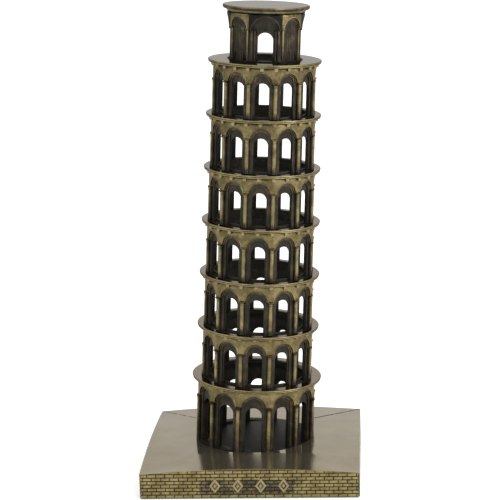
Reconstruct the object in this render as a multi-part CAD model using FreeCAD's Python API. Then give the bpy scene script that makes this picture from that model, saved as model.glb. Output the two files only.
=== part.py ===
import FreeCAD, Part
import math
import os

from FreeCAD import Placement, Rotation, Vector

# Miniature leaning tower on a square brick plinth, cast in bronze-coloured zinc.
# Millimetres, +Z up, front towards -Y, origin at the middle of the underside.

# plinth
baseSide = 74.0
cornerHeight = 8.8      # wall height at the four corners
crownHeight = 10.4      # height of the vaulted top along its two ridges
rimLift = 0.3           # the felt keeps the casting's rim this far off the table
courseCount = 8         # brick courses between the rim and the wall tops
mortarDepth = 0.25
mortarGap = 0.22
feltThickness = 1.0
feltMargin = 2.0        # from the wall to the recess for the felt
feltClearance = 0.25

# raised ornaments on the front wall
ornamentCount = 4
ornamentPitch = 7.7
ornamentWidth = 3.9
ornamentHeight = 5.2
ornamentProud = 0.3     # in front of the brick faces

# tower as a whole
leanAngle = 3.15
leanHeading = -8.0      # from +X towards +Y
towerY = 0.85           # the foot stands a little behind the middle
seatDepth = 0.6         # the ground storey stands in a shallow round seat
seatClearance = 0.25

# storeys
arcadeCount = 7         # storeys below the belfry
archCount = 12
groundPitch = 22.9
storeyPitch = 18.45
ringThickness = 1.2
groundRadius = 20.4
arcadeRadius = 19.15    # second storey, and each one above it is smaller
arcadeTaper = 0.34
groundWall = 3.5
arcadeWall = 2.6
sillHeight = 0.4
pierWidth = 1.3         # of wall left standing between two recesses, behind a column
columnWidth = 1.7       # a round shaft against each pier
columnProud = 0.6       # from the wall above the arches to the face of a shaft
capitalHeight = 1.3
capitalFlare = 0.35     # each capital stands out this far from its column
recessDepth = 1.0
middleDepth = 1.8

# one arch: its outer crown and its doorway's crown, above the storey's floor
groundCrown = 20.4
groundDoorCrown = 15.6
groundDoorWidth = 5.3
arcadeCrown = 15.5
arcadeDoorCrown = 12.0
arcadeDoorWidth = 4.8

# balcony rings
groundRingRadius = 22.6
arcadeRingRadius = 21.2
arcadeRingTaper = 0.37
rimRounding = 0.35
dentilCount = 24
dentilWidth = 1.1
dentilHeight = 1.1
dentilSetBack = 1.0     # from the ring's edge
lipWall = 0.9
lipBelow = 1.2
lipAbove = 0.6
fitClearance = 0.1      # radial, on every locating lip

# belfry and its cap
belfryTurn = 2.5        # the belfry's bays are turned a little from the arcades
belfryPitch = 18.4
belfryRadius = 13.1
belfryWall = 3.1
belfryBays = 4          # bays with a doorway, with a blind bay between each two
bayWidth = 9.6
bayCrown = 15.4
bayDepth = 0.9
belfryDoorWidth = 5.4
belfryDoorCrown = 10.0
blindWidth = 7.4
blindCrown = 15.2
blindDepth = 0.8
capRadius = 14.75
capThickness = 1.3
corniceRadius = 13.6
corniceThickness = 0.8

# screws from below, with a plain washer under each head
screwCount = 3
screwTurn = 45.0        # from the front, onto the axis of a column
shankRadius = 1.0
screwReach = 6.0        # above the seat
screwClearance = 0.03
tipRoom = 0.5           # from the screw's tip to the end of its hole
headRadius = 1.9
headHeight = 1.4
headSink = 0.2          # from the felt to the head
washerRadius = 2.3
washerThickness = 0.4
boreClearance = 0.2

up = Vector(0, 0, 1)
here = Vector(0, 0, 0)


def tube(outer, inner, low, high):
    """A ring or drum about the Z axis."""
    body = Part.makeCylinder(outer, high - low, Vector(0, 0, low))
    hole = Part.makeCylinder(inner, high - low, Vector(0, 0, low))
    return body.cut(hole)


def turned(shape, angle):
    """A copy turned about the Z axis."""
    copy = shape.copy()
    copy.rotate(here, up, angle)
    return copy


def around(shape, count, start=0.0):
    """Evenly spaced copies about the Z axis, as one compound."""
    step = 360.0 / count
    return Part.makeCompound([turned(shape, start + step * i) for i in range(count)])


def arch(width, crown, sill, near, far):
    """An upright round-headed block that faces -Y, from radius near to radius far."""
    half = width / 2
    spring = crown - half
    left = Vector(-half, -far, sill)
    right = Vector(half, -far, sill)
    rightSpring = Vector(half, -far, spring)
    leftSpring = Vector(-half, -far, spring)
    outline = Part.Wire([
        Part.makeLine(left, right),
        Part.makeLine(right, rightSpring),
        Part.Arc(rightSpring, Vector(0, -far, crown), leftSpring).toShape(),
        Part.makeLine(leftSpring, left),
    ])
    return Part.Face(outline).extrude(Vector(0, far - near, 0))


def chord(radius, count):
    """Distance between the axes of two neighbouring columns."""
    return 2 * radius * math.sin(math.pi / count)


# sizes of one storey, counted from 1 at the ground
def drumRadius(storey):
    return groundRadius if storey == 1 else arcadeRadius - arcadeTaper * (storey - 2)


def drumBore(storey):
    if storey > arcadeCount:
        return belfryRadius - belfryWall
    return drumRadius(storey) - (groundWall if storey == 1 else arcadeWall)


def ringRadius(storey):
    if storey == 1:
        return groundRingRadius
    return arcadeRingRadius - arcadeRingTaper * (storey - 2)


def floorLevel(storey):
    """Height of a storey's floor along the tower's axis."""
    return 0.0 if storey == 1 else groundPitch + storeyPitch * (storey - 2)


def ringUnderside(storey):
    return floorLevel(storey + 1) - ringThickness


def leaning(shape):
    """Moves a shape from the upright tower's frame to its place on the plinth."""
    heading = math.radians(leanHeading)
    axis = Vector(-math.sin(heading), math.cos(heading), 0)
    place = Placement(Vector(0, towerY, crownHeight), Rotation(axis, leanAngle))
    copy = shape.copy()
    copy.Placement = place.multiply(copy.Placement)
    return copy


seatLevel = crownHeight - seatDepth
footDrop = 3.0          # the ground storey is made this much too long, then trimmed to its seat


def belowSeat():
    """Everything under the level of the seat."""
    corner = Vector(-baseSide, -baseSide, seatLevel - baseSide)
    return Part.makeBox(2 * baseSide, 2 * baseSide, baseSide, corner)


def seatCutter():
    """The round seat, following the leaning foot's own outline."""
    foot = Part.makeCylinder(groundRadius + seatClearance, 2 * footDrop, Vector(0, 0, -footDrop))
    return leaning(foot).cut(belowSeat())


def screwPlaces():
    """Where the screws stand on the plinth, under three columns of the ground storey."""
    radius = (groundRadius + drumBore(1)) / 2
    places = []
    for i in range(screwCount):
        angle = math.radians(screwTurn + 360.0 / screwCount * i)
        foot = leaning(Part.Vertex(radius * math.sin(angle), -radius * math.cos(angle), -seatDepth))
        places.append(Vector(foot.Point.x, foot.Point.y, 0))
    return places


def column(radius, low, high, place):
    return Part.makeCylinder(radius, high - low, Vector(place.x, place.y, low))


headSeat = feltThickness + headSink + headHeight + washerThickness


def vault():
    """A wall block whose top is arched across its front."""
    half = baseSide / 2
    corners = [Vector(-half, -half, rimLift), Vector(half, -half, rimLift)]
    tops = [Vector(half, -half, cornerHeight), Vector(-half, -half, cornerHeight)]
    outline = Part.Wire([
        Part.makeLine(corners[0], corners[1]),
        Part.makeLine(corners[1], tops[0]),
        Part.Arc(tops[0], Vector(0, -half, crownHeight), tops[1]).toShape(),
        Part.makeLine(tops[1], corners[0]),
    ])
    return Part.Face(outline).extrude(Vector(0, baseSide, 0))


def mortarLines():
    """The level joints between the brick courses, all round."""
    half = baseSide / 2
    pitch = (cornerHeight - rimLift) / (courseCount - 1)
    inner = baseSide - 2 * mortarDepth
    joints = []
    for i in range(1, courseCount - 1):
        low = rimLift + pitch * i - mortarGap / 2
        outside = Part.makeBox(baseSide, baseSide, mortarGap, Vector(-half, -half, low))
        inside = Part.makeBox(inner, inner, mortarGap, Vector(-inner / 2, -inner / 2, low))
        joints.append(outside.cut(inside))
    return Part.makeCompound(joints)


def ornaments():
    """Raised lozenges in a row on the front wall."""
    middle = (rimLift + cornerHeight) / 2
    front = -baseSide / 2
    made = []
    for i in range(ornamentCount):
        x = ornamentPitch * (i - (ornamentCount - 1) / 2)
        points = [
            Vector(x - ornamentWidth / 2, front - ornamentProud, middle),
            Vector(x, front - ornamentProud, middle - ornamentHeight / 2),
            Vector(x + ornamentWidth / 2, front - ornamentProud, middle),
            Vector(x, front - ornamentProud, middle + ornamentHeight / 2),
        ]
        face = Part.Face(Part.makePolygon(points + points[:1]))
        made.append(face.extrude(Vector(0, ornamentProud + 2 * mortarDepth, 0)))
    return made


def plinth():
    body = vault().fuse(turned(vault(), 90))
    recess = baseSide - 2 * feltMargin
    corner = Vector(-recess / 2, -recess / 2, rimLift)
    body = body.cut(Part.makeBox(recess, recess, feltThickness - rimLift, corner))
    body = body.cut(mortarLines())
    body = body.cut(seatCutter())
    for place in screwPlaces():
        body = body.cut(column(shankRadius + boreClearance, 0, crownHeight, place))
        body = body.cut(column(washerRadius + boreClearance, 0, headSeat, place))
    return body.fuse(ornaments()).removeSplitter()


def felt():
    side = baseSide - 2 * feltMargin - 2 * feltClearance
    return Part.makeBox(side, side, feltThickness, Vector(-side / 2, -side / 2, 0))


def screws():
    headTop = headSeat - washerThickness
    made = []
    for place in screwPlaces():
        head = column(headRadius, headTop - headHeight, headTop, place)
        shank = column(shankRadius, headTop, seatLevel + screwReach, place)
        made.append(head.fuse(shank).removeSplitter())
    return Part.makeCompound(made)


def washers():
    low = headSeat - washerThickness
    bore = shankRadius + boreClearance / 2
    made = []
    for place in screwPlaces():
        made.append(column(washerRadius, low, headSeat, place).cut(column(bore, low, headSeat, place)))
    return Part.makeCompound(made)


def arcade(storey):
    """A drum with twelve recessed arches, each with a doorway through the wall, and columns between them."""
    outer = drumRadius(storey)
    bore = drumBore(storey)
    ground = storey == 1
    floor = floorLevel(storey)
    crown = floor + (groundCrown if ground else arcadeCrown)
    doorCrown = floor + (groundDoorCrown if ground else arcadeDoorCrown)
    doorWidth = groundDoorWidth if ground else arcadeDoorWidth
    recessWidth = chord(outer, archCount) - pierWidth
    sill = floor + sillHeight
    low = -footDrop if ground else floor
    drum = tube(outer, bore, low, ringUnderside(storey))
    steps = [
        arch(recessWidth, crown, sill, outer - recessDepth, outer + 1),
        arch((recessWidth + doorWidth) / 2, (crown + doorCrown) / 2, sill, outer - middleDepth, outer + 1),
        arch(doorWidth, doorCrown, sill, bore / 2, outer + 1),
    ]
    cutter = steps[0].fuse(steps[1:])
    drum = drum.cut(around(cutter, archCount))
    spring = crown - recessWidth / 2
    shaft = column(columnWidth / 2, sill, spring, Vector(0, columnWidth / 2 - outer - columnProud, 0))
    capitalWidth = columnWidth + 2 * capitalFlare
    front = outer + columnProud + capitalFlare
    back = outer - recessDepth
    capital = Part.makeBox(capitalWidth, front - back, capitalHeight)
    capital.translate(Vector(-capitalWidth / 2, -front, spring - capitalHeight))
    capital = capital.common(tube(front, back, spring - capitalHeight, spring))
    support = shaft.fuse(capital)
    step = 360.0 / archCount
    return drum.fuse([turned(support, step * (i + 0.5)) for i in range(archCount)]).removeSplitter()


def groundArcade():
    """The lowest drum, trimmed flat to stand in its seat and drilled for the screws."""
    drum = leaning(arcade(1)).cut(belowSeat())
    for place in screwPlaces():
        drum = drum.cut(column(shankRadius + screwClearance, 0, seatLevel + screwReach + tipRoom, place))
    return drum


def balcony(storey):
    """A thin round-edged ring with dentils and locating lips for the drums above and below."""
    outer = ringRadius(storey)
    low = ringUnderside(storey)
    high = floorLevel(storey + 1)
    lipOutBelow = drumBore(storey) - fitClearance
    lipOutAbove = drumBore(storey + 1) - fitClearance
    bore = min(lipOutBelow, lipOutAbove) - lipWall
    ring = tube(outer, bore, low, high)
    rim = [edge for edge in ring.Edges if abs(edge.BoundBox.XMax - outer) < 0.01 and edge.Closed]
    ring = ring.makeFillet(rimRounding, rim)
    lipAboveRing = tube(lipOutAbove, lipOutAbove - lipWall, high, high + lipAbove)
    lipBelowRing = tube(lipOutBelow, lipOutBelow - lipWall, low - lipBelow, low)
    inner = drumRadius(storey) + fitClearance
    reach = outer - dentilSetBack - inner
    corner = Vector(-dentilWidth / 2, -inner - reach, low - dentilHeight)
    dentil = Part.makeBox(dentilWidth, reach, dentilHeight, corner)
    clear = Part.makeCylinder(inner, 2 * dentilHeight, Vector(0, 0, low - 1.5 * dentilHeight))
    dentils = [turned(dentil.cut(clear), 360.0 / dentilCount * i) for i in range(dentilCount)]
    return ring.fuse([lipAboveRing, lipBelowRing] + dentils).removeSplitter()


def belfry():
    """The top drum: doorway bays on four sides and blind bays between them."""
    floor = floorLevel(arcadeCount + 1)
    roof = floor + belfryPitch - capThickness - corniceThickness
    bore = belfryRadius - belfryWall
    drum = tube(belfryRadius, bore, floor, roof)
    sill = floor + sillHeight
    far = belfryRadius + 1
    bay = arch(bayWidth, floor + bayCrown, sill, belfryRadius - bayDepth, far)
    door = arch(belfryDoorWidth, floor + belfryDoorCrown, sill, bore / 2, far)
    blind = arch(blindWidth, floor + blindCrown, sill, belfryRadius - blindDepth, far)
    half = 180.0 / belfryBays
    drum = drum.cut(around(bay.fuse(door), belfryBays))
    drum = drum.cut(around(blind, belfryBays, half))
    return turned(drum, belfryTurn)


def cornice():
    """A stepped moulding between the belfry wall and the cap."""
    high = floorLevel(arcadeCount + 1) + belfryPitch - capThickness
    low = high - corniceThickness
    bore = belfryRadius - belfryWall
    ring = tube(corniceRadius, bore - fitClearance - lipWall, low, high)
    lip = tube(bore - fitClearance, bore - fitClearance - lipWall, low - lipBelow, low)
    return ring.fuse(lip).removeSplitter()


def cap():
    """The solid disc that closes the tower, with a shallow spigot in the cornice's bore."""
    high = floorLevel(arcadeCount + 1) + belfryPitch
    low = high - capThickness
    disc = Part.makeCylinder(capRadius, capThickness, Vector(0, 0, low))
    rim = [edge for edge in disc.Edges if edge.Closed and edge.Curve.TypeId == "Part::GeomCircle"]
    disc = disc.makeFillet(rimRounding, rim)
    spigotRadius = belfryRadius - belfryWall - fitClearance - lipWall - fitClearance
    spigot = Part.makeCylinder(spigotRadius, corniceThickness, Vector(0, 0, low - corniceThickness))
    return disc.fuse(spigot).removeSplitter()


def nodes():
    made = {
        "plinth_casting": plinth(),
        "felt_pad": felt(),
        "tower_screws": screws(),
        "screw_washers": washers(),
        "storey_1_arcade": groundArcade(),
    }
    for storey in range(2, arcadeCount + 1):
        made[f"storey_{storey}_arcade"] = leaning(arcade(storey))
    for storey in range(1, arcadeCount + 1):
        made[f"balcony_ring_{storey}"] = leaning(balcony(storey))
    made["belfry_drum"] = leaning(belfry())
    made["belfry_cornice"] = leaning(cornice())
    made["cap_disc"] = leaning(cap())
    return made


os.makedirs("parts", exist_ok=True)
for name, shape in nodes().items():
    shape.exportStep(f"parts/{name}.step")
    box = shape.BoundBox
    print(name, len(shape.Solids), shape.isValid(), round(shape.Volume, 1), "top", round(box.ZMax, 2))
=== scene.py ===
import bpy
import bmesh
import math
from mathutils import Matrix, Vector


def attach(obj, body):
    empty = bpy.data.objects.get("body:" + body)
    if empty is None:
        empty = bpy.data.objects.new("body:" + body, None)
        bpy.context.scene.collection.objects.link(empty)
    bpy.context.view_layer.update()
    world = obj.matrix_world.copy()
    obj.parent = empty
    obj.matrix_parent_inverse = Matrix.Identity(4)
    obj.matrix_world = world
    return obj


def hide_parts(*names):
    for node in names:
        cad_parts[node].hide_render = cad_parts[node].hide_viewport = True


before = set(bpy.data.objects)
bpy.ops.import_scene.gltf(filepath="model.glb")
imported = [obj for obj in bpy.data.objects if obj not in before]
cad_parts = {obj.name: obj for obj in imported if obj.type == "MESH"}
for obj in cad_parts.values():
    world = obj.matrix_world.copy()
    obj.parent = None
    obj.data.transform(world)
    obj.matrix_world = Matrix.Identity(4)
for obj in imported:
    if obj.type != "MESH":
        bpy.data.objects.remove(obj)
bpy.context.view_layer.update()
mm = 0.001
turn = 2 * math.pi

# everything below is in millimetres until a mesh is made
tower = dict(lean=3.15, heading=-8.0, y=0.85, arches=12, arcades=7, groundPitch=22.9, pitch=18.45,
             belfryPitch=18.4)
plinth = dict(side=74.0, corner=8.8, crown=10.4, rim=0.3, relief=0.25)


# ---------- shapes as plain lists ----------

class Shape:
    def __init__(self):
        self.points, self.faces, self.wear = [], [], []

    def point(self, x, y, z, wear=0.0):
        self.points.append((x, y, z))
        self.wear.append(wear)
        return len(self.points) - 1

    def add(self, other, matrix=None):
        start = len(self.points)
        for p in other.points:
            self.points.append(tuple(matrix @ Vector(p)) if matrix else p)
        self.wear += other.wear
        self.faces += [tuple(start + i for i in face) for face in other.faces]
        return self

    def bridge(self, first, second, closed=True):
        n = len(first)
        for i in range(n if closed else n - 1):
            j = (i + 1) % n
            self.faces.append((first[i], first[j], second[j], second[i]))

    def mesh(self, name):
        made = bpy.data.meshes.new(name)
        made.from_pydata([tuple(c * mm for c in p) for p in self.points], [], self.faces)
        made.attributes.new("wear", "FLOAT", "POINT").data.foreach_set("value", self.wear)
        return made


def ease(value, low, high):
    t = max(0.0, min(1.0, (value - low) / (high - low)))
    return t * t * (3 - 2 * t)


def fromMesh(mesh):
    shape = Shape()
    wear = mesh.attributes["wear"].data
    for vertex in mesh.vertices:
        shape.points.append(tuple(vertex.co * (1 / mm)))
        shape.wear.append(wear[vertex.index].value)
    shape.faces = [tuple(face.vertices) for face in mesh.polygons]
    return shape


def tidyMesh(mesh, sharp=38.0, gap=0.004 * mm):
    # merged first, then turned outwards, then shaded smooth between sharp edges
    work = bmesh.new()
    work.from_mesh(mesh)
    bmesh.ops.remove_doubles(work, verts=work.verts, dist=gap)
    bmesh.ops.dissolve_degenerate(work, edges=work.edges, dist=gap / 4)
    bmesh.ops.recalc_face_normals(work, faces=work.faces)
    work.to_mesh(mesh)
    work.free()
    mesh.shade_smooth()
    mesh.set_sharp_from_angle(angle=math.radians(sharp))
    return mesh


def lathe(profile, segments, closed=True):
    # profile is a list of (radius, height, wear); a radius of 0 makes a pole
    shape = Shape()
    rows = []
    for radius, height, wear in profile:
        if radius == 0:
            rows.append([shape.point(0, 0, height, wear)] * segments)
            continue
        angles = [turn * i / segments for i in range(segments)]
        rows.append([shape.point(radius * math.cos(a), radius * math.sin(a), height, wear) for a in angles])
    for first, second in zip(rows, rows[1:]):
        for i in range(segments):
            j = (i + 1) % segments
            corners = [first[i], first[j], second[j], second[i]]
            kept = [c for k, c in enumerate(corners) if c not in corners[:k]]
            if len(kept) > 2:
                shape.faces.append(tuple(kept))
    if closed:
        shape.bridge(rows[-1], rows[0])
    return shape


# ---------- node trees ----------

class Wire:
    # a node's output, with arithmetic
    def __init__(self, tree, socket):
        self.tree, self.socket = tree, socket

    def maths(self, operation, *others, clamp=False):
        node = self.tree.nodes.new("ShaderNodeMath")
        node.operation, node.use_clamp = operation, clamp
        for i, value in enumerate((self,) + others):
            plug(self.tree, node.inputs[i], value)
        return Wire(self.tree, node.outputs[0])

    def __add__(self, other):
        return self.maths("ADD", other)

    def __radd__(self, other):
        return self.maths("ADD", other)

    def __sub__(self, other):
        return self.maths("SUBTRACT", other)

    def __rsub__(self, other):
        return number(self.tree, other).maths("SUBTRACT", self)

    def __mul__(self, other):
        return self.maths("MULTIPLY", other)

    def __rmul__(self, other):
        return self.maths("MULTIPLY", other)

    def __truediv__(self, other):
        return self.maths("DIVIDE", other)

    def __lt__(self, other):
        return self.maths("LESS_THAN", other)

    def __abs__(self):
        return self.maths("ABSOLUTE")

    def clamp(self):
        return self.maths("ADD", 0.0, clamp=True)


def number(tree, value):
    node = tree.nodes.new("ShaderNodeMath")
    node.operation = "ADD"
    node.inputs[0].default_value, node.inputs[1].default_value = value, 0.0
    return Wire(tree, node.outputs[0])


def plug(tree, socket, value):
    if isinstance(value, Wire):
        tree.links.new(value.socket, socket)
    else:
        socket.default_value = value


class Nodes:
    def __init__(self, tree):
        self.tree = tree

    def add(self, kind, settings=None, sockets=None, out=0):
        node = self.tree.nodes.new(kind)
        for name, value in (settings or {}).items():
            setattr(node, name, value)
        for name, value in (sockets or {}).items():
            plug(self.tree, node.inputs[name], value)
        return Wire(self.tree, node.outputs[out])

    def smooth(self, value, low, high):
        settings = dict(interpolation_type="SMOOTHSTEP")
        sockets = {"Value": value, "From Min": low, "From Max": high}
        return self.add("ShaderNodeMapRange", settings, sockets)

    def mix(self, factor, first, second):
        node = self.tree.nodes.new("ShaderNodeMix")
        node.data_type = "RGBA"
        plug(self.tree, node.inputs[0], factor)
        for socket, value in ((node.inputs[6], first), (node.inputs[7], second)):
            plug(self.tree, socket, value if isinstance(value, Wire) else (*value, 1))
        return Wire(self.tree, node.outputs[2])


# ---------- geometry nodes ----------

def newGroup(name, inputs):
    group = bpy.data.node_groups.new(name, "GeometryNodeTree")
    group.interface.new_socket("Geometry", in_out="INPUT", socket_type="NodeSocketGeometry")
    for label, kind in inputs:
        group.interface.new_socket(label, in_out="INPUT", socket_type=kind)
    group.interface.new_socket("Geometry", in_out="OUTPUT", socket_type="NodeSocketGeometry")
    return group


def around():
    # repeats its own mesh about the Z axis
    group = newGroup("aroundAxis", [("Count", "NodeSocketInt"), ("Gap", "NodeSocketFloat"),
                                    ("Finish", "NodeSocketMaterial")])
    make = Nodes(group)
    given = group.nodes.new("NodeGroupInput")
    unit, count, gap, finish = [Wire(group, given.outputs[i]) for i in range(4)]
    spots = make.add("GeometryNodePoints", sockets={"Count": count})
    index = make.add("GeometryNodeInputIndex")
    spin = make.add("ShaderNodeCombineXYZ", sockets={"Z": index * turn / count})
    copies = make.add("GeometryNodeInstanceOnPoints",
                      sockets={"Points": spots, "Instance": unit, "Rotation": spin})
    whole = make.add("GeometryNodeRealizeInstances", sockets={"Geometry": copies})
    joined = make.add("GeometryNodeMergeByDistance", sockets={"Geometry": whole, "Distance": gap})
    done = make.add("GeometryNodeSetMaterial", sockets={"Geometry": joined, "Material": finish})
    group.links.new(done.socket, group.nodes.new("NodeGroupOutput").inputs[0])
    return group


def evaluated(name, mesh, group, values):
    # the tree's result as a plain mesh
    carrier = bpy.data.objects.new(name + "Carrier", mesh)
    bpy.context.scene.collection.objects.link(carrier)
    grow = carrier.modifiers.new("grow", "NODES")
    grow.node_group = group
    for item in group.interface.items_tree:
        if item.in_out == "INPUT" and item.name in values:
            grow[item.identifier] = values[item.name]
    result = bpy.data.meshes.new_from_object(carrier.evaluated_get(bpy.context.evaluated_depsgraph_get()))
    carrier.modifiers.remove(grow)
    bpy.data.objects.remove(carrier)
    return result


aroundAxis = around()


def repeated(name, shape, count, finish):
    values = {"Count": count, "Gap": 0.004 * mm, "Finish": finish}
    return evaluated(name, shape.mesh(name + "Unit"), aroundAxis, values)


# ---------- finishes ----------

def towerFrame(make):
    # object coordinates turned back to the upright tower
    where = make.add("ShaderNodeTexCoord", out=3)
    axis = Vector((-math.sin(math.radians(tower["heading"])), math.cos(math.radians(tower["heading"])), 0))
    lean = Matrix.Rotation(math.radians(tower["lean"]), 3, axis).to_euler()
    foot = (0, tower["y"] * mm, plinth["crown"] * mm)
    return make.add("ShaderNodeMapping", dict(vector_type="TEXTURE"),
                    {"Vector": where, "Location": foot, "Rotation": lean})


def start(name):
    material = bpy.data.materials.new(name)
    material.use_nodes = True
    make = Nodes(material.node_tree)
    shader = material.node_tree.nodes["Principled BSDF"]
    return material, make, shader


bronze = dict(
    black=(0.020, 0.019, 0.014), deep=(0.006, 0.006, 0.005),
    dark=(0.022, 0.018, 0.012), brown=(0.072, 0.053, 0.032),
    polished=(0.300, 0.272, 0.236), rubAndHighlight=(0.262, 0.218, 0.118),
)
wallTones = ((0.112, 0.087, 0.035), (0.205, 0.165, 0.076))
rimTones = ((0.165, 0.130, 0.058), (0.255, 0.208, 0.105))
brickTones = ((0.165, 0.128, 0.046), (0.265, 0.214, 0.092))


def antique(name, tones, low=0.25, high=1.1, tops=False):
    # dark patina in the hollows, and painted shade where a wear value is set below zero; rubbed bright on
    # what stands out, with the brightest tone partly rubbed brass and partly a painted highlight
    material, make, shader = start(name)
    place = towerFrame(make)
    wear = make.add("ShaderNodeAttribute", dict(attribute_name="wear"), out=2)
    cloud = make.add("ShaderNodeTexNoise", sockets={
        "Vector": place, "Scale": 260.0, "Detail": 4.0, "Roughness": 0.6})
    grain = make.add("ShaderNodeTexNoise", sockets={"Vector": place, "Scale": 1500.0, "Detail": 3.0})
    drip = make.add("ShaderNodeMapping", sockets={"Vector": place, "Scale": (1.0, 1.0, 0.12)})
    streak = make.add("ShaderNodeTexNoise", sockets={"Vector": drip, "Scale": 900.0, "Detail": 3.0})
    wearShadeAndHighlight = wear + (cloud - 0.5) * 0.7 + (streak - 0.5) * 0.4
    rubbed = make.smooth(wearShadeAndHighlight, low, high)
    tint = make.smooth(cloud + (grain - 0.5) * 0.5, 0.35, 0.7)
    patinaAndShade = make.mix(make.smooth(wearShadeAndHighlight, -0.55, -0.2), bronze["deep"], bronze["black"])
    patinaAndShade = make.mix(make.smooth(wearShadeAndHighlight, -0.1, 0.45), patinaAndShade, make.mix(tint, bronze["dark"], bronze["brown"]))
    proud = make.mix(tint, *tones)
    colour = make.mix(rubbed, patinaAndShade, proud)
    # partly rubbed brass, partly a painted highlight where the wear value passes 1.1
    colour = make.mix(make.smooth(wearShadeAndHighlight, 1.1, 1.6), colour, bronze["rubAndHighlight"])
    rough = 0.52 - rubbed * 0.16 + (grain - 0.5) * 0.16
    if tops:
        normal = make.add("ShaderNodeNewGeometry", out=1)
        upward = make.add("ShaderNodeSeparateXYZ", sockets={"Vector": normal}, out=2)
        flat = make.smooth(upward, 0.93, 0.985) * make.smooth(wear, 0.3, 0.7)
        colour = make.mix(flat, colour, make.mix(tint * 0.3, bronze["polished"], tones[1]))
        rough = rough * (1 - flat) + flat * (0.15 + (cloud - 0.5) * 0.06)
    bump = make.add("ShaderNodeBump", sockets={
        "Strength": 0.35, "Distance": 0.00005, "Height": grain * 0.7 + cloud * 1.3})
    plug(make.tree, shader.inputs["Base Color"], colour)
    plug(make.tree, shader.inputs["Roughness"], rough)
    plug(make.tree, shader.inputs["Metallic"], 0.75 + rubbed * 0.25)
    plug(make.tree, shader.inputs["Normal"], bump)
    shader.inputs["Specular Tint"].default_value = (0.60, 0.57, 0.53, 1)
    shader.inputs["Coat Weight"].default_value = 0.08
    shader.inputs["Coat Roughness"].default_value = 0.2
    return material


vault = dict(deck=20.4, deckHeight=10.6, paintedShadeInside=20.3)


def polishedTop(name):
    # the vaulted top of the plinth: buffed bronze, with patina left in the valleys, and painted shade on the
    # floor inside the tower's foot
    material, make, shader = start(name)
    where = make.add("ShaderNodeTexCoord", out=3)
    split = make.tree.nodes.new("ShaderNodeSeparateXYZ")
    make.tree.links.new(where.socket, split.inputs[0])
    x, y = Wire(make.tree, split.outputs[0]), Wire(make.tree, split.outputs[1])
    cloud = make.add("ShaderNodeTexNoise", sockets={
        "Vector": where, "Scale": 90.0, "Detail": 5.0, "Roughness": 0.55})
    grain = make.add("ShaderNodeTexNoise", sockets={"Vector": where, "Scale": 1400.0, "Detail": 2.0})
    fleck = make.add("ShaderNodeTexNoise", sockets={
        "Vector": where, "Scale": 420.0, "Detail": 5.0, "Roughness": 0.7})
    wander = (fleck - 0.5) * 0.9 + (cloud - 0.5) * 0.8
    valley = abs((abs(x) - abs(y)) * 1000 + wander)
    behind = make.smooth(y * 1000, -6.0, 8.0)
    reach = abs(x).maths("MAXIMUM", abs(y)) * 1000
    deck = 1 - make.smooth(reach + wander * 0.25, vault["deck"] - 0.15, vault["deck"] + 0.15)
    right = make.smooth(x * 1000, 0.0, 20.0)
    width = behind * (0.26 + right * 0.14)
    line = (1 - make.smooth(valley, width, width * 1.3 + 0.2)) * make.smooth(fleck, 0.42, 0.50)
    line = line * (0.2 + behind * 0.8) * (1 - deck)
    fromFoot = make.add("ShaderNodeVectorMath", dict(operation="LENGTH"), {0: make.add(
        "ShaderNodeCombineXYZ", sockets={"X": x, "Y": y - tower["y"] * mm})}, out=1)
    paintedShadeInside = 1 - make.smooth(fromFoot * 1000 + wander * 0.5, vault["paintedShadeInside"], vault["paintedShadeInside"] + 0.5)
    base = make.mix(make.smooth(cloud, 0.3, 0.7), (0.245, 0.208, 0.142), (0.288, 0.249, 0.182))
    colour = make.mix((line * 0.97).clamp(), base, bronze["deep"])
    colour = make.mix(deck * 0.15, colour, bronze["dark"])
    # painted shade: the floor inside the tower's foot is painted near-black
    colour = make.mix(paintedShadeInside, colour, (0.010, 0.009, 0.008))
    plug(make.tree, shader.inputs["Base Color"], colour)
    rough = 0.17 + (cloud - 0.5) * 0.06 + line * 0.6 - deck * 0.11 + paintedShadeInside * 0.45
    plug(make.tree, shader.inputs["Roughness"], rough)
    plug(make.tree, shader.inputs["Metallic"], 0.88 - paintedShadeInside * 0.3 - line * 0.85)
    shader.inputs["Specular Tint"].default_value = (0.92, 0.90, 0.86, 1)
    shader.inputs["Specular IOR Level"].default_value = 0.12
    bump = make.add("ShaderNodeBump", sockets={
        "Strength": 0.12, "Distance": 0.00003, "Height": grain * 0.5 + cloud * 1.5})
    plug(make.tree, shader.inputs["Normal"], bump)
    return material


panel = dict(left=-17.2, right=15.6, low=1.5, high=6.9)


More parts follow.
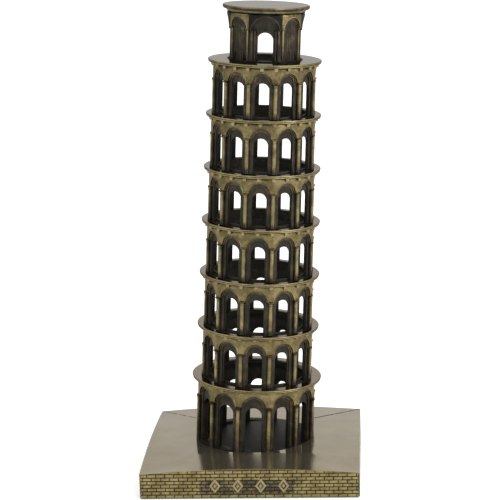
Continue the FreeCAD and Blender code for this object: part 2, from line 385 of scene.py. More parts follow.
def brickFinish(name):
    # each brick face rubbed bright, less so on the field behind the front ornaments
    material, make, shader = start(name)
    where = make.add("ShaderNodeTexCoord", out=3)
    split = make.tree.nodes.new("ShaderNodeSeparateXYZ")
    make.tree.links.new(where.socket, split.inputs[0])
    x, y, z = [Wire(make.tree, split.outputs[i]) * 1000 for i in range(3)]
    wear = make.add("ShaderNodeAttribute", dict(attribute_name="wear"), out=2)
    cloud = make.add("ShaderNodeTexNoise", sockets={"Vector": where, "Scale": 240.0, "Detail": 4.0})
    grain = make.add("ShaderNodeTexNoise", sockets={"Vector": where, "Scale": 1500.0, "Detail": 3.0})
    wobble = (cloud - 0.5) * 1.5
    inside = make.smooth(x + wobble, panel["left"], panel["left"] + 0.8)
    inside = inside * (1 - make.smooth(x + wobble, panel["right"] - 0.8, panel["right"]))
    inside = inside * make.smooth(z + wobble * 0.3, panel["low"], panel["low"] + 0.4)
    inside = inside * (1 - make.smooth(z + wobble * 0.3, panel["high"] - 0.4, panel["high"]))
    inside = inside * (y < -plinth["side"] / 2 + 1)
    rubbed = make.smooth(wear + (cloud - 0.5) * 0.45 + (grain - 0.5) * 0.45 - inside * 0.46, 0.28, 1.02)
    tint = make.smooth(cloud + (grain - 0.5) * 0.6, 0.35, 0.7)
    colour = make.mix(rubbed, make.mix(tint, bronze["dark"], bronze["brown"]), make.mix(tint, *brickTones))
    plug(make.tree, shader.inputs["Base Color"], colour)
    plug(make.tree, shader.inputs["Roughness"], 0.42 - rubbed * 0.10 + (grain - 0.5) * 0.16)
    plug(make.tree, shader.inputs["Metallic"], 0.75 + rubbed * 0.25)
    bump = make.add("ShaderNodeBump", sockets={
        "Strength": 0.4, "Distance": 0.00005, "Height": grain + cloud})
    plug(make.tree, shader.inputs["Normal"], bump)
    shader.inputs["Coat Weight"].default_value = 0.08
    shader.inputs["Coat Roughness"].default_value = 0.2
    return material


def feltFinish():
    material, make, shader = start("greenFelt")
    where = make.add("ShaderNodeTexCoord", out=3)
    fibre = make.add("ShaderNodeTexNoise", sockets={
        "Vector": where, "Scale": 2600.0, "Detail": 4.0, "Distortion": 1.2})
    cloud = make.add("ShaderNodeTexNoise", sockets={"Vector": where, "Scale": 120.0, "Detail": 3.0})
    colour = make.mix((fibre * 0.7 + cloud * 0.3).clamp(), (0.008, 0.016, 0.010), (0.035, 0.060, 0.040))
    plug(make.tree, shader.inputs["Base Color"], colour)
    plug(make.tree, shader.inputs["Roughness"], 0.9 + (cloud - 0.5) * 0.1)
    bump = make.add("ShaderNodeBump", sockets={"Strength": 0.8, "Distance": 0.0002, "Height": fibre})
    plug(make.tree, shader.inputs["Normal"], bump)
    shader.inputs["Sheen Weight"].default_value = 0.4
    return material


def steelFinish():
    material, make, shader = start("platedSteel")
    where = make.add("ShaderNodeTexCoord", out=3)
    grain = make.add("ShaderNodeTexNoise", sockets={"Vector": where, "Scale": 1800.0, "Detail": 3.0})
    plug(make.tree, shader.inputs["Base Color"], make.mix(grain, (0.42, 0.42, 0.41), (0.62, 0.61, 0.58)))
    plug(make.tree, shader.inputs["Roughness"], 0.28 + grain * 0.14)
    shader.inputs["Metallic"].default_value = 1.0
    return material


arcadeBronze = antique("arcadeBronze", wallTones)
ringBronze = antique("ringBronze", rimTones, low=0.15, high=0.9, tops=True)
plinthBronze = polishedTop("plinthTopBronze")
brickBronze = brickFinish("brickBronze")
mortarBronze = antique("mortarBronze", rimTones, low=1.2, high=2.2)
print("finishes made")


# ---------- placing ----------

def leanMatrix():
    heading = math.radians(tower["heading"])
    axis = Vector((-math.sin(heading), math.cos(heading), 0))
    place = Matrix.Translation(Vector((0, tower["y"], plinth["crown"])) * mm)
    return place @ Matrix.Rotation(math.radians(tower["lean"]), 4, axis)


leaning = leanMatrix()


def keep(name, mesh, nodes, finish, lean=True):
    if lean:
        mesh.transform(leaning)
    mesh.materials.clear()
    mesh.materials.append(finish)
    piece = bpy.data.objects.new(name, mesh)
    bpy.context.scene.collection.objects.link(piece)
    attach(piece, "root")
    if nodes:
        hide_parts(*nodes)
    return piece


def standing(floor, degrees):
    # a storey's place on the upright tower
    return Matrix.Translation((0, 0, floor * mm)) @ Matrix.Rotation(math.radians(degrees), 4, "Z")


def bevelled(mesh, width, segments=2, angle=38.0):
    # small rounded edges, applied
    carrier = bpy.data.objects.new("bevelCarrier", mesh)
    bpy.context.scene.collection.objects.link(carrier)
    soften = carrier.modifiers.new("soften", "BEVEL")
    soften.width, soften.segments, soften.limit_method = width * mm, segments, "ANGLE"
    soften.angle_limit = math.radians(angle)
    soften.use_clamp_overlap = True
    made = bpy.data.meshes.new_from_object(carrier.evaluated_get(bpy.context.evaluated_depsgraph_get()))
    carrier.modifiers.remove(soften)
    bpy.data.objects.remove(carrier)
    made.shade_smooth()
    made.set_sharp_from_angle(angle=math.radians(50))
    return made


# ---------- one bay of an arcade ----------

def bayLoops(bay):
    # closed loops round the arch, each as (kind, x, z) with one point for each point of the others
    top, sill = bay["top"], bay["sill"]
    half, crown = bay["steps"][0][:2]
    spring = crown - half
    side = bay["radius"] * math.sin(bay["halfPitch"])
    corner = math.atan2(top - spring, side)
    angles = [math.pi - corner * i / 7 for i in range(8)]
    angles += [math.pi - corner - (math.pi - 2 * corner) * i / 14 for i in range(1, 14)]
    angles += [corner - corner * i / 7 for i in range(8)]
    jambs = 5
    loops = []
    for half, crown in [(None, None)] + [step[:2] for step in bay["steps"]]:
        springHere = spring if half is None else crown - half
        loop = []
        for i in range(jambs):
            t = i / (jambs - 1)
            z = sill + (springHere - sill) * t
            loop.append(("jamb", -(side if half is None else half), z))
        for angle in angles:
            c, s = math.cos(angle), math.sin(angle)
            if half is None:
                reach = min(side / max(abs(c), 1e-6), (top - spring) / max(s, 1e-6))
                loop.append(("arch", c * reach, spring + s * reach))
            else:
                loop.append(("arch", c * half, springHere + s * half))
        for i in range(jambs):
            t = 1 - i / (jambs - 1)
            z = sill + (springHere - sill) * t
            loop.append(("jamb", (side if half is None else half), z))
        for i in range(9):
            t = 1 - i / 4
            loop.append(("sill", t * (side if half is None else half), sill if half else bay["low"]))
        loops.append(loop)
    return loops


def wallPoint(bay, kind, x, z, depth, edge=False):
    # a point at that depth behind the outer face of a nearly flat bay
    radius, halfPitch = bay["radius"], bay["halfPitch"]
    flat = radius * math.cos(halfPitch)
    behind = {"jamb": bay["pierDepth"], "sill": bay["sillDepth"], "arch": depth}[kind]
    depth = max(depth, behind)
    if edge:
        shrink = 1 - depth / flat
        return x * shrink, -flat * shrink, z
    bulge = bay["bulge"] * (math.sqrt(max(radius ** 2 - x ** 2, 0)) - flat)
    return x, -(flat + bulge) + depth, z


bayWear = dict(arch=1.0, jamb=0.28, sill=0.12)


def archBay(bay):
    # steps are (half width, crown, depth of the face in front of it); the last one runs through the wall
    shape = Shape()
    loops = bayLoops(bay)
    rows = []
    proud = bay.get("wear", 1.0)
    edge = [shape.point(*wallPoint(bay, k, x, z, 0.0, True), proud * bayWear[k]) for k, x, z in loops[0]]
    rows.append(edge)
    for t in (0.3, 0.6, 0.85):
        between = [(k, x + (u - x) * t, z + (w - z) * t) for (k, x, z), (_, u, w) in zip(loops[0], loops[1])]
        rows.append([shape.point(*wallPoint(bay, k, x, z, 0.0), proud * bayWear[k]) for k, x, z in between])
    for step, loop in zip(bay["steps"], loops[1:]):
        face, wear = step[2], step[3]
        rows.append([shape.point(*wallPoint(bay, k, x, z, face), wear * bayWear[k]) for k, x, z in loop])
    bore, halfPitch = bay["bore"], bay["halfPitch"]
    side = bay["radius"] * math.sin(halfPitch)
    if bay["open"]:
        rows.append([shape.point(x, -math.sqrt(bore ** 2 - x ** 2), z, 0.0) for k, x, z in loops[-1]])
        inner = []
        for k, x, z in loops[0]:
            angle = x / side * halfPitch
            inner.append(shape.point(bore * math.sin(angle), -bore * math.cos(angle), z, 0.0))
        rows.append(inner)
    else:
        # a blind bay ends in a flat panel, with a plain curved wall inside
        last = rows[-1]
        n = len(last)
        centre = [shape.point(*wallPoint(bay, "arch", 0, z, bay["steps"][-1][2]), 0.15)
                  for z in [sum(shape.points[i][2] for i in last) / n]]
        for i in range(n):
            shape.faces.append((last[i], last[(i + 1) % n], centre[0]))
        inner = []
        for k, x, z in loops[0]:
            angle = x / side * halfPitch
            inner.append(shape.point(bore * math.sin(angle), -bore * math.cos(angle), z, 0.0))
        middle = shape.point(0, -bore, bay["sill"] + 3, 0.0)
        for i in range(n):
            shape.faces.append((inner[i], inner[(i + 1) % n], middle))
    for first, second in zip(rows, rows[1:]):
        if not bay["open"] and second is inner:
            continue
        shape.bridge(first, second)
    # the level faces at the top and the bottom of the wall
    levels = [z for k, x, z in loops[0]]
    n = len(levels)
    for i in range(n):
        j = (i + 1) % n
        level = abs(levels[i] - levels[j]) < 1e-6
        atEnd = min(abs(levels[i] - bay["top"]), abs(levels[i] - bay["low"])) < 1e-6
        if level and atEnd:
            shape.faces.append((edge[i], edge[j], inner[j], inner[i]))
    return shape


def lathedColumn(radius, low, high, flare, atRadius, angle, footDark=3.0, segments=16):
    # base, shaft, neck ring and bell-shaped capital, one column
    base = [
        (0, low, 0.2), (radius * 1.2, low, 0.45),
        (radius * 1.24, low + 0.16, 0.7), (radius * 1.18, low + 0.34, 0.6),
        (radius * 1.04, low + 0.42, 0.4), (radius * 1.12, low + 0.56, 0.7), (radius * 1.1, low + 0.68, 0.6),
        (radius, low + 0.8, 0.5),
    ]
    neck = high - flare * 4.2
    shaft = [(radius * (1.0 + 0.03 * math.sin(math.pi * t / 6)), low + 0.8 + (neck - low - 0.8) * t / 6, 1.3)
             for t in range(1, 6)]
    capital = [
        (radius, neck, 1.4), (radius * 1.13, neck + 0.08, 1.4), (radius * 1.13, neck + 0.2, 1.4),
        (radius * 0.98, neck + 0.28, 1.1), (radius * 1.04, neck + 0.55, 1.3),
        (radius + flare * 0.45, neck + flare * 2.6, 1.4), (radius + flare * 0.95, high - 0.38, 1.4),
        (0, high - 0.38, 0.6),
    ]
    shape = lathe(base + shaft + capital, segments, closed=False)
    # rubbed on the outer side and painted bright down the front as a highlight, dark towards the wall and
    # down at the foot
    for i, (x, y, z) in enumerate(shape.points):
        away = math.hypot(x, y)
        outward = -y / away if away > 1e-6 else 0.5
        shape.wear[i] *= 0.08 + 0.92 * ease(outward, 0.35, 0.96)
        shape.wear[i] *= 0.25 + 0.75 * ease(z - low, 0.3, footDark)
    place = Matrix.Rotation(angle, 4, "Z") @ Matrix.Translation(Vector((0, -atRadius, 0)))
    return Shape().add(shape, place)


def block(width, near, far, low, high, angle, wear=(1.0, 0.5), taper=0.0):
    # a small upright block that faces outwards at that angle
    shape = Shape()
    corners = []
    for z, narrow in ((low, taper), (high, 0.0)):
        w = width / 2 - narrow
        for x, r in ((-w, near), (w, near), (w, far - narrow), (-w, far - narrow)):
            corners.append(shape.point(x, -r, z, wear[0] if r > near else wear[1]))
    a, b, c, d, e, f, g, h = corners
    shape.faces += [(a, d, c, b), (e, f, g, h), (a, b, f, e), (b, c, g, f), (c, d, h, g), (d, a, e, h)]
    return Shape().add(shape, Matrix.Rotation(angle, 4, "Z"))


arcade = dict(
    turn=0.6, groundRadius=20.7, radius=19.35, taper=0.34, groundWall=3.3, wall=2.2, groundTop=21.7,
    top=17.25, sill=0.12, pierDepth=0.8, sillDepth=0.5, bulge=0.6, columnRadius=0.78,
    columnProud=0.3, flare=0.36, pier=1.12, hood=0.28, order=0.55, groundCrown=20.3,
    groundDoor=(2.8, 15.8), crown=15.5, door=(2.4, 12.0), groundSill=0.3, groundColumn=-1.6,
    groundLow=-2.6,
)


def arcadeRadius(storey):
    return arcade["groundRadius"] if storey == 1 else arcade["radius"] - arcade["taper"] * (storey - 2)


def archOrders(half, crown, door, hood, order, depths):
    # a thin proud hood rubbed and painted bright as a highlight, then stepped orders with a rubbed arris
    # each that is partly a painted highlight, then the doorway in a dark tympanum
    steps = [(half + hood, crown + hood, 0.0, 0.95), (half + hood * 0.85, crown + hood * 0.85, -0.1, 1.25),
             (half + hood * 0.15, crown + hood * 0.15, -0.1, 1.25), (half, crown, 0.0, 0.5)]
    for i, depth in enumerate(depths[:-1]):
        near, far = half - order * i, half - order * (i + 1)
        top, under = crown - order * i, crown - order * (i + 1)
        steps += [(near, top, depth, 0.16), (near - order * 0.3, top - order * 0.3, depth, 0.42),
                  (far + order * 0.12, under + order * 0.12, depth, 0.58), (far, under, depth + 0.1, 0.30)]
    last = half - order * (len(depths) - 1)
    steps += [(last, crown - order * (len(depths) - 1), depths[-1], 0.05), (*door, depths[-1], 0.12)]
    return steps


def arcadeStorey(storey):
    ground = storey == 1
    radius = arcadeRadius(storey)
    bore = radius - (arcade["groundWall"] if ground else arcade["wall"])
    halfPitch = math.pi / tower["arches"]
    half = radius * math.sin(halfPitch) - arcade["pier"]
    crown = arcade["groundCrown"] if ground else arcade["crown"]
    door = arcade["groundDoor"] if ground else arcade["door"]
    steps = archOrders(half, crown, door, arcade["hood"], arcade["order"], (0.4, 0.8, 1.35))
    sill = arcade["groundSill"] if ground else arcade["sill"]
    bay = dict(radius=radius, bore=bore, halfPitch=halfPitch, low=arcade["groundLow"] if ground else 0.0,
               top=arcade["groundTop"] if ground else arcade["top"], sill=sill,
               pierDepth=arcade["pierDepth"], sillDepth=arcade["sillDepth"], bulge=arcade["bulge"],
               steps=steps, open=True, wear=0.86 if storey == tower["arcades"] else 1.0)
    shape = archBay(bay)
    spring = crown - half
    size = arcade["columnRadius"]
    reach = radius + arcade["columnProud"] + (0.15 if ground else 0.0)
    footDark = 12.5 if ground else 2.8
    foot = arcade["groundColumn"] if ground else sill
    shape.add(lathedColumn(size, foot, spring, arcade["flare"], reach - size, halfPitch, footDark))
    shape.add(block(1.9, radius - 1.9, reach + 0.16, spring - 0.36, spring, halfPitch, (1.25, 0.3), 0.16))
    mesh = repeated(f"storey{storey}", shape, tower["arches"], arcadeBronze)
    mesh = bevelled(tidyMesh(mesh), 0.04, 2)
    floor = 0.0 if ground else tower["groundPitch"] + tower["pitch"] * (storey - 2)
    mesh.transform(standing(floor, arcade["turn"]))
    return keep(f"storey_{storey}_wall", mesh, [f"storey_{storey}_arcade"], arcadeBronze)


for storey in range(1, tower["arcades"] + 1):
    arcadeStorey(storey)
print("arcades made")


# ---------- balcony rings ----------

belfry = dict(radius=13.1, bore=10.0, top=16.3, sill=0.4, turn=2.5, wideHalf=25.5, sides=4)
ring = dict(groundRadius=22.6, radius=21.2, taper=0.37, thick=1.2, lip=1.2, segments=144,
            dentils=24, dentilWidth=1.3, dentilDrop=1.05, lowDrop=0.62)


def balcony(storey):
    ground = storey == 1
    outer = ring["groundRadius"] if ground else ring["radius"] - ring["taper"] * (storey - 2)
    last = storey == tower["arcades"]
    below = arcadeRadius(storey)
    above = belfry["radius"] if last else arcadeRadius(storey + 1)
    boreBelow = below - (arcade["groundWall"] if ground else arcade["wall"])
    inner = (belfry["bore"] if last else above - arcade["wall"]) - 1.0
    t = ring["thick"]
    profile = [
        (inner, 0.5, 0.0), (inner + 0.9, 0.5, 0.0), (inner + 0.9, 0.0, 0.0),
        (above - 0.4, 0.0, 0.0), (above + 0.1, 0.0, 0.9), (outer - 0.6, 0.0, 1.0),
        (outer - 0.3, 0.0, 1.0), (outer - 0.16, -0.04, 1.1), (outer - 0.05, -0.13, 1.3),
        (outer, -0.26, 1.3), (outer - 0.03, -0.40, 1.0), (outer - 0.12, -0.50, 0.5),
        (outer - 0.24, -0.54, 0.1), (outer - 0.26, -0.62, 0.1), (outer - 0.18, -0.68, 0.8),
        (outer - 0.14, -0.82, 1.25), (outer - 0.18, -0.95, 1.1), (outer - 0.3, -1.04, 0.5),
        (outer - 0.55, -1.08, 0.15), (outer - 0.6, -t, 0.1), (boreBelow - 0.1, -t, 0.1),
        (boreBelow - 0.1, -t - ring["lip"], 0.0), (boreBelow - 1.0, -t - ring["lip"], 0.0),
        (boreBelow - 1.0, -t, 0.0), (min(inner, boreBelow - 1.0), -t, 0.0),
    ]
    shape = lathe(profile, ring["segments"])
    drop = ring["lowDrop"] if storey < 3 else ring["dentilDrop"]
    unit = Shape()
    near, far = below - 1.3, outer - 0.95
    unit.add(block(ring["dentilWidth"], near, far, -t - drop, -t + 0.1, 0.0, (1.3, 0.3), 0.14))
    mesh = repeated(f"dentils{storey}", unit, ring["dentils"], ringBronze)
    shape.add(fromMesh(mesh))
    made = bevelled(tidyMesh(shape.mesh(f"balcony{storey}")), 0.06, 2, 45.0)
    floor = tower["groundPitch"] + tower["pitch"] * (storey - 1)
    made.transform(Matrix.Translation((0, 0, floor * mm)))
    return keep(f"balcony_{storey}", made, [f"balcony_ring_{storey}"], ringBronze)


for storey in range(1, tower["arcades"] + 1):
    balcony(storey)
print("balcony rings made")


# ---------- belfry ----------

def belfryDrum():
    wide = math.radians(belfry["wideHalf"])
    narrow = math.pi / belfry["sides"] - wide
    radius, sill = belfry["radius"], belfry["sill"]
    common = dict(radius=radius, bore=belfry["bore"], low=0.0, top=belfry["top"], sill=sill,
                  sillDepth=0.6, bulge=1.0)
    half = radius * math.sin(wide) - 0.95
    door, crown, lintel = 2.65, 9.95, 0.6
    steps = archOrders(half, 15.2, (door + lintel, crown + lintel), 0.3, 0.5, (0.5, 1.0, 1.5))
    # painted shade: the wide open bays' faces and stepped orders get low or negative wear, so they come out
    # near-black
    steps = [(*step[:3], step[3] * 0.15) for step in steps]
    steps += [(door + lintel, crown + lintel, 1.35, 0.25),
              (door + 0.1, crown + 0.1, 1.35, 0.3), (door, crown, 1.45, 0.1)]
    shape = archBay(dict(common, halfPitch=wide, pierDepth=0.75, steps=steps, open=True, wear=-0.7))
    narrowHalf = radius * math.sin(narrow) - 0.75
    steps = archOrders(narrowHalf, 14.9, (narrowHalf - 1.1, 13.75), 0.26, 0.42, (0.45, 0.8, 0.95))
    steps = [(*step[:3], step[3] * 1.15) for step in steps]
    blind = archBay(dict(common, halfPitch=narrow, pierDepth=0.75, steps=steps, open=False, wear=0.85))
    shape.add(blind, Matrix.Rotation(math.pi / belfry["sides"], 4, "Z"))
    spring = 14.9 - narrowHalf
    for sign in (-1, 1):
        slim = sign * (wide + 0.045)
        shape.add(lathedColumn(0.4, sill, spring, 0.24, radius - 0.68, slim, 6.0, 12))
        shape.add(block(1.1, radius - 1.3, radius + 0.02, spring - 0.36, spring, slim, (1.0, 0.3), 0.08))
        for turned, back, wear in ((-0.075, 0.75, 0.4), (-0.15, 1.15, 0.2)):
            rod = lathedColumn(0.4, sill, spring - 0.2, 0.22, radius - back, sign * (wide + turned), 6.0, 12)
            rod.wear = [w * wear for w in rod.wear]
            shape.add(rod)
    for flute in range(-2, 3):
        at = math.pi / belfry["sides"] + flute * 0.062
        rod = lathedColumn(0.33, sill, 12.4 - abs(flute) * 0.5, 0.14, radius - 1.2, at, 6.0, 10)
        rod.wear = [w * 0.42 for w in rod.wear]
        shape.add(rod)
    mesh = bevelled(tidyMesh(repeated("belfry", shape, belfry["sides"], arcadeBronze)), 0.04, 2)
    floor = tower["groundPitch"] + tower["pitch"] * (tower["arcades"] - 1)
    mesh.transform(standing(floor, belfry["turn"]))
    keep("belfry_wall", mesh, ["belfry_drum"], arcadeBronze)


belfryDrum()

cap = dict(radius=14.75, thick=1.3, cornice=13.75, corniceThick=0.8)


def capAndCornice():
    top = tower["groundPitch"] + tower["pitch"] * (tower["arcades"] - 1) + tower["belfryPitch"]
    under = top - cap["thick"]
    r = cap["radius"]
    profile = [
        (0, top, 1.0), (r * 0.35, top, 1.0), (r * 0.7, top, 1.0), (r - 0.5, top, 1.0),
        (r - 0.25, top - 0.03, 1.0),
        (r - 0.08, top - 0.14, 1.05), (r, top - 0.40, 0.55),
        (r, top - 0.75, 0.18), (r - 0.08, top - 1.02, 0.12),
        (r - 0.22, top - 1.2, 0.35), (r - 0.42, under, 0.2), (8.8, under, 0.1), (8.8, under - 0.8, 0.0),
        (0, under - 0.8, 0.0),
    ]
    disc = bevelled(tidyMesh(lathe(profile, 144, closed=False).mesh("cap")), 0.03, 1, 60.0)
    keep("cap_top", disc, ["cap_disc"], ringBronze)
    c = cap["cornice"]
    low = under - cap["corniceThick"]
    profile = [
        (8.9, under, 0.1), (c - 0.12, under, 0.5), (c, under - 0.1, 0.9), (c - 0.02, under - 0.24, 0.8),
        (c - 0.14, under - 0.32, 0.3), (c - 0.24, under - 0.38, 0.3), (c - 0.26, under - 0.5, 0.7),
        (c - 0.34, under - 0.62, 0.6), (c - 0.5, under - 0.68, 0.25), (c - 0.56, low, 0.2), (9.9, low, 0.1),
        (9.9, low - 1.2, 0.0), (8.9, low - 1.2, 0.0),
    ]
    moulding = bevelled(tidyMesh(lathe(profile, 144).mesh("cornice")), 0.03, 1, 60.0)
    keep("belfry_moulding", moulding, ["belfry_cornice"], ringBronze)


capAndCornice()
print("belfry made")


# ---------- plinth ----------

def crownLine(x):
    # height of the arched wall top at x from the middle
    rise = plinth["crown"] - plinth["corner"]
    half = plinth["side"] / 2
    radius = (half ** 2 + rise ** 2) / (2 * rise)
    return plinth["crown"] - radius + math.sqrt(radius ** 2 - x ** 2)


def plinthBody():
    # one quarter: a vaulted triangle and its wall, then four of them
    rows, half, wall = 36, plinth["side"] / 2, plinth["side"] / 2 - plinth["relief"]
    quarter = Shape()
    ids = []
    for j in range(rows + 1):
        y = half * j / rows
        if abs(y - vault["deck"]) < half / rows / 2:
            y = vault["deck"]
        slope = max(y - vault["deck"], 0) / (half - vault["deck"])
        line = []
        for i in range(-j, j + 1):
            share = i / j if j else 0
            z = vault["deckHeight"] * (1 - slope) + crownLine(half * share) * slope
            line.append(quarter.point(y * share, -y, z, 1.0))
        ids.append(line)
    for j in range(rows):
        near, far = ids[j], ids[j + 1]
        quarter.faces.append((far[0], far[1], near[0]))
        quarter.faces.append((near[-1], far[-2], far[-1]))
        for i in range(len(near) - 1):
            quarter.faces.append((near[i], far[i + 1], far[i + 2], near[i + 1]))
    lip = [quarter.point(quarter.points[i][0], -half, quarter.points[i][2] - 0.16, 1.0) for i in ids[-1]]
    quarter.bridge(lip, ids[-1], closed=False)
    under = [quarter.point(quarter.points[i][0] * wall / half, -wall, quarter.points[i][2], 0.0)
             for i in lip]
    quarter.bridge(under, lip, closed=False)
    foot = [quarter.point(quarter.points[i][0], -wall, plinth["rim"], 0.0) for i in under]
    quarter.bridge(foot, under, closed=False)
    inner = half - 2.0
    recess = [quarter.point(quarter.points[i][0] * inner / wall, -inner, plinth["rim"], 0.0) for i in foot]
    quarter.bridge(recess, foot, closed=False)
    roof = [quarter.point(quarter.points[i][0], -inner, 1.0, 0.0) for i in recess]
    quarter.bridge(roof, recess, closed=False)
    middle = quarter.point(0, 0, 1.0, 0.0)
    for a, b in zip(roof, roof[1:]):
        quarter.faces.append((middle, b, a))
    return tidyMesh(repeated("plinthBody", quarter, 4, plinthBronze), 30.0)


bricks = dict(perSide=24.0, courses=8, gap=0.25, columns=26, rows=9, underRim=0.12)
lozenge = dict(count=4, pitch=7.7, halfWidth=1.95, halfHeight=2.6)


def brickTree():
    # courses of bricks on a wall that faces -Y, cut off by the arched top
    names = ["Side", "Length", "Course", "Mortar", "Low", "Crown", "Corner"]
    inputs = [(n, "NodeSocketFloat") for n in names] + [("Finish", "NodeSocketMaterial")]
    group = newGroup("brickCourses", inputs)
    make = Nodes(group)
    given = group.nodes.new("NodeGroupInput")
    wires = [Wire(group, socket) for socket in given.outputs]
    brick, side, length, course, mortar, low, crown, corner, finish = wires[:9]
    columns = bricks["columns"]
    spots = make.add("GeometryNodePoints", sockets={"Count": columns * bricks["rows"]})
    index = make.add("GeometryNodeInputIndex")
    row = (index / columns).maths("FLOOR")
    column = index - row * columns
    shift = row.maths("MODULO", 2) * 0.5
    x = (column + shift - columns / 2 + 0.25) * length
    z = low + (row + 0.5) * course
    spot = make.add("ShaderNodeCombineXYZ", sockets={"X": x, "Y": side * -0.5, "Z": z})
    placed = make.add("GeometryNodeSetPosition", sockets={"Geometry": spots, "Position": spot})
    copies = make.add("GeometryNodeInstanceOnPoints", sockets={"Points": placed, "Instance": brick})
    whole = make.add("GeometryNodeRealizeInstances", sockets={"Geometry": copies})
    split = group.nodes.new("ShaderNodeSeparateXYZ")
    group.links.new(make.add("GeometryNodeInputPosition").socket, split.inputs[0])
    px, py, pz = [Wire(group, split.outputs[i]) for i in range(3)]
    # clamp to the wall's own outline
    edge = side * 0.5 - mortar * 0.5
    bent = px.maths("MINIMUM", edge).maths("MAXIMUM", edge * -1)
    share = bent / (side * 0.5)
    roof = crown - (crown - corner) * share * share - bricks["underRim"] * mm
    capped = pz.maths("MINIMUM", roof)
    held = make.add("ShaderNodeCombineXYZ", sockets={"X": bent, "Y": py, "Z": capped})
    trimmed = make.add("GeometryNodeSetPosition", sockets={"Geometry": whole, "Position": held})
    area = make.add("GeometryNodeInputMeshFaceArea")
    solid = make.add("GeometryNodeDeleteGeometry", dict(domain="FACE"),
                     {"Geometry": trimmed, "Selection": area < 1e-10})
    done = make.add("GeometryNodeSetMaterial", sockets={"Geometry": solid, "Material": finish})
    group.links.new(done.socket, group.nodes.new("NodeGroupOutput").inputs[0])
    return group


def brickUnit(length, height, depth):
    # a closed, pillow-edged brick that runs back into the casting
    shape = Shape()
    loops = []
    steps = ((0.0, -0.3, 0.0), (0.0, depth - 0.1, 0.15), (0.04, depth - 0.03, 0.7), (0.1, depth, 1.0))
    for inset, proud, wear in steps:
        w, h = length / 2 - inset, height / 2 - inset
        loops.append([shape.point(x, -proud, z, wear) for x, z in ((-w, -h), (w, -h), (w, h), (-w, h))])
    for first, second in zip(loops, loops[1:]):
        shape.bridge(first, second)
    shape.faces.append(tuple(loops[-1]))
    shape.faces.append(tuple(reversed(loops[0])))
    return shape


def brickWalls():
    side = plinth["side"] - 2 * plinth["relief"]
    length = side / bricks["perSide"]
    course = (plinth["corner"] - plinth["rim"] - 0.1) / (bricks["courses"] - 1)
    unit = brickUnit(length - bricks["gap"], course - bricks["gap"], plinth["relief"])
    values = {
        "Side": side * mm, "Length": length * mm, "Course": course * mm, "Mortar": bricks["gap"] * mm,
        "Low": (plinth["rim"] + 0.05) * mm, "Crown": plinth["crown"] * mm,
        "Corner": plinth["corner"] * mm, "Finish": brickBronze,
    }
    wall = evaluated("bricks", unit.mesh("brickUnit"), brickTree(), values)
    whole = repeated("brickWall", fromMesh(wall), 4, brickBronze)
    return tidyMesh(whole, 50.0, 0.0005 * mm)


def ornaments():
    # raised lozenges with a bevelled edge, in place of lettering
    shape = Shape()
    front = -plinth["side"] / 2
    middle = (plinth["rim"] + plinth["corner"]) / 2
    for i in range(lozenge["count"]):
        x0 = lozenge["pitch"] * (i - (lozenge["count"] - 1) / 2)
        loops = []
        for scale, proud, wear in (
                (1.0, -0.3, 0.0), (1.0, 0.1, 0.3), (0.93, 0.22, 1.5), (0.62, 0.3, 1.6), (0.56, 0.2, 0.4),
                (0.3, 0.2, 0.4), (0.22, 0.3, 1.5)):
            w, h = lozenge["halfWidth"] * scale, lozenge["halfHeight"] * scale
            loops.append([shape.point(x0 + x, front - proud, middle + z, wear)
                          for x, z in ((-w, 0), (0, -h), (w, 0), (0, h))])
        for first, second in zip(loops, loops[1:]):
            shape.bridge(first, second)
        shape.faces.append(tuple(loops[-1]))
        shape.faces.append(tuple(reversed(loops[0])))
    return bevelled(tidyMesh(shape.mesh("lozenges"), 20.0), 0.05, 2, 25.0)


body = keep("plinth_body", plinthBody(), ["plinth_casting"], plinthBronze, lean=False)
body.data.materials.append(mortarBronze)
body.data.materials.append(brickBronze)
for face in body.data.polygons:
    rim = plinth["side"] / 2 * mm - 1e-6 < max(abs(face.center.x), abs(face.center.y))
    face.material_index = 2 if rim else 0 if face.normal.z > 0.5 else 1
keep("plinth_bricks", brickWalls(), [], brickBronze, lean=False)
keep("front_lozenges", ornaments(), [], ringBronze, lean=False)
print("plinth made")

# CAD nodes that stay as they are
hidden = (("felt_pad", feltFinish()), ("tower_screws", steelFinish()), ("screw_washers", steelFinish()))
for name, finish in hidden:
    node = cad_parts[name]
    node.data.materials.clear()
    node.data.materials.append(finish)

# ---------- stage, light and camera ----------

studio = dict(
    floor=(0.93, 0.93, 0.93), size=14.0, glow=0.15,
    horizon=0.62, middle=0.98, zenith=1.35, flags=0.7, rightward=0.15,
)
view = dict(lens=136.52, sensor=36.0, place=(0.59, -8.67, 2.86), turned=(-3.875, 11.775, -1.75))


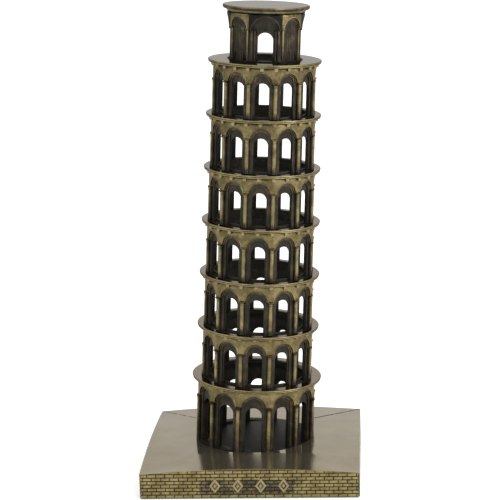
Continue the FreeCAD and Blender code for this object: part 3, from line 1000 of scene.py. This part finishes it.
def stage():
    size = studio["size"]
    mesh = bpy.data.meshes.new("floor")
    corners = [(-size, -size, 0), (size, -size, 0), (size, size, 0), (-size, size, 0)]
    mesh.from_pydata(corners, [], [(0, 1, 2, 3)])
    floor = bpy.data.objects.new("floor", mesh)
    bpy.context.scene.collection.objects.link(floor)
    material, make, shader = start("paleFloor")
    shader.inputs["Base Color"].default_value = (*studio["floor"], 1)
    shader.inputs["Roughness"].default_value = 0.9
    shader.inputs["Emission Color"].default_value = (1, 1, 1, 1)
    shader.inputs["Emission Strength"].default_value = studio["glow"]
    floor.data.materials.append(material)
    world = bpy.data.worlds.new("studio")
    bpy.context.scene.world = world
    world.use_nodes = True
    make = Nodes(world.node_tree)
    split = make.tree.nodes.new("ShaderNodeSeparateXYZ")
    make.tree.links.new(make.add("ShaderNodeTexCoord", out=0).socket, split.inputs[0])
    x, y, z = [Wire(make.tree, split.outputs[i]) for i in range(3)]
    level = make.smooth(z, 0.3, 0.8) * (studio["zenith"] - studio["middle"]) + studio["horizon"]
    level = level + make.smooth(z, 0.03, 0.24) * (studio["middle"] - studio["horizon"])
    flags = make.smooth(abs(x), 0.26, 0.45) * make.smooth(y, 0.15, 0.5) * (1 - make.smooth(z, 0.3, 0.75))
    level = level * (1 - flags * studio["flags"]) * (1 + x * studio["rightward"])
    back = world.node_tree.nodes["Background"]
    back.inputs["Color"].default_value = (1, 1, 1, 1)
    plug(world.node_tree, back.inputs["Strength"], level)


def softbox(name, place, target, size, power):
    light = bpy.data.lights.new(name, "AREA")
    light.shape, light.size, light.size_y, light.energy = "RECTANGLE", size[0], size[1], power
    lamp = bpy.data.objects.new(name, light)
    lamp.location = place
    lamp.rotation_euler = (Vector(target) - Vector(place)).to_track_quat("-Z", "Y").to_euler()
    bpy.context.scene.collection.objects.link(lamp)


def camera():
    side = plinth["side"] * mm
    data = bpy.data.cameras.new("camera")
    data.sensor_width, data.lens = view["sensor"], view["lens"]
    data.clip_start, data.clip_end = 0.01, 20.0
    shot = bpy.data.objects.new("camera", data)
    bpy.context.scene.collection.objects.link(shot)
    yaw, pitch, roll = [math.radians(a) for a in view["turned"]]
    look = Vector((math.sin(yaw) * math.cos(pitch), math.cos(yaw) * math.cos(pitch), -math.sin(pitch)))
    right = Vector((math.cos(yaw), -math.sin(yaw), 0))
    upward = right.cross(look)
    rolled = math.cos(roll) * right + math.sin(roll) * upward
    upRolled = -math.sin(roll) * right + math.cos(roll) * upward
    turned = Matrix((rolled, upRolled, -look)).transposed().to_4x4()
    shot.matrix_world = Matrix.Translation(Vector(view["place"]) * side) @ turned
    bpy.context.scene.camera = shot


stage()
softbox("left", (-0.6, -0.5, 0.6), (0, 0, 0.08), (0.6, 0.7), 1.5)
softbox("right", (0.7, -0.4, 0.5), (0, 0, 0.08), (0.5, 0.6), 5.0)
camera()
bpy.context.scene.view_settings.view_transform = "Standard"
